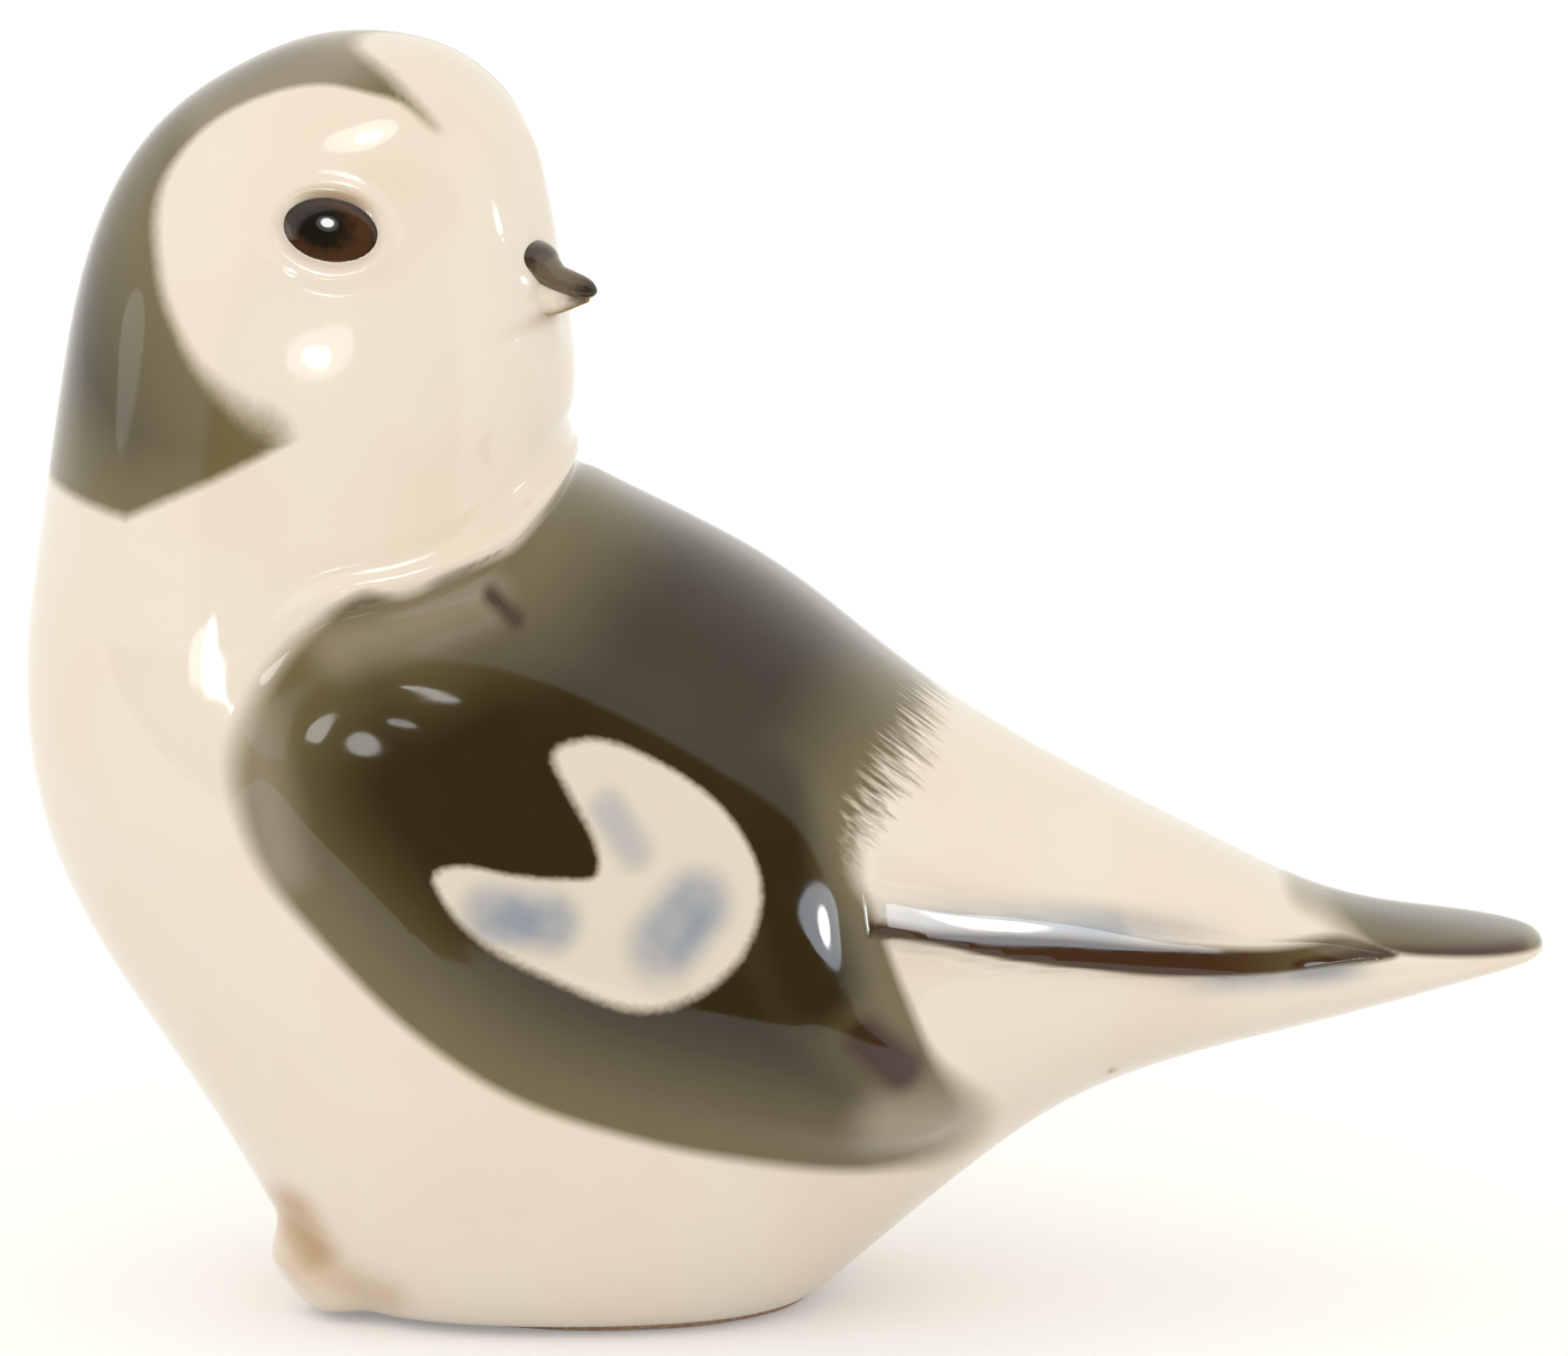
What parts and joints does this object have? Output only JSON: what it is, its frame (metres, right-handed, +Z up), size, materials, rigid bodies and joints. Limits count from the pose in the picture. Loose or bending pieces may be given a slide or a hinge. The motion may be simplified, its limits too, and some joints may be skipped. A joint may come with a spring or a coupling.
{
  "type": "bird figurine",
  "caption": "Glazed porcelain snow bunting, seated with its head turned back over its shoulder; a hollow cast shelf ornament that stands on a flat unglazed ring.",
  "frame": {"origin": "on the table under the middle of the figure's box", "axes": "+X towards the tail tip, +Y towards the bird's right side, +Z up"},
  "size_m": [0.0786, 0.0384, 0.0659],
  "materials": {
    "cream_glaze": "high gloss clear glaze over warm white porcelain",
    "slate_glaze": "high gloss clear glaze over grey-brown underglaze paint",
    "umber_glaze": "high gloss clear glaze over dark brown underglaze paint",
    "ochre_glaze": "high gloss clear glaze over a yellow-brown tint",
    "eye_glaze": "high gloss, nearly black brown",
    "bisque": "unglazed, matt"
  },
  "bodies": {
    "root": {"body_shell": "cream_glaze", "head_shell": "cream_glaze", "tail": "cream_glaze", "wing_left": "slate_glaze", "wing_right": "slate_glaze", "flight_feathers_left": "umber_glaze", "flight_feathers_right": "umber_glaze", "upper_mandible": "umber_glaze", "lower_mandible": "ochre_glaze", "eye_left": "eye_glaze", "eye_right": "eye_glaze", "foot_left": "ochre_glaze", "foot_right": "ochre_glaze", "foot_ring": "bisque"}
  },
  "joints": []
}
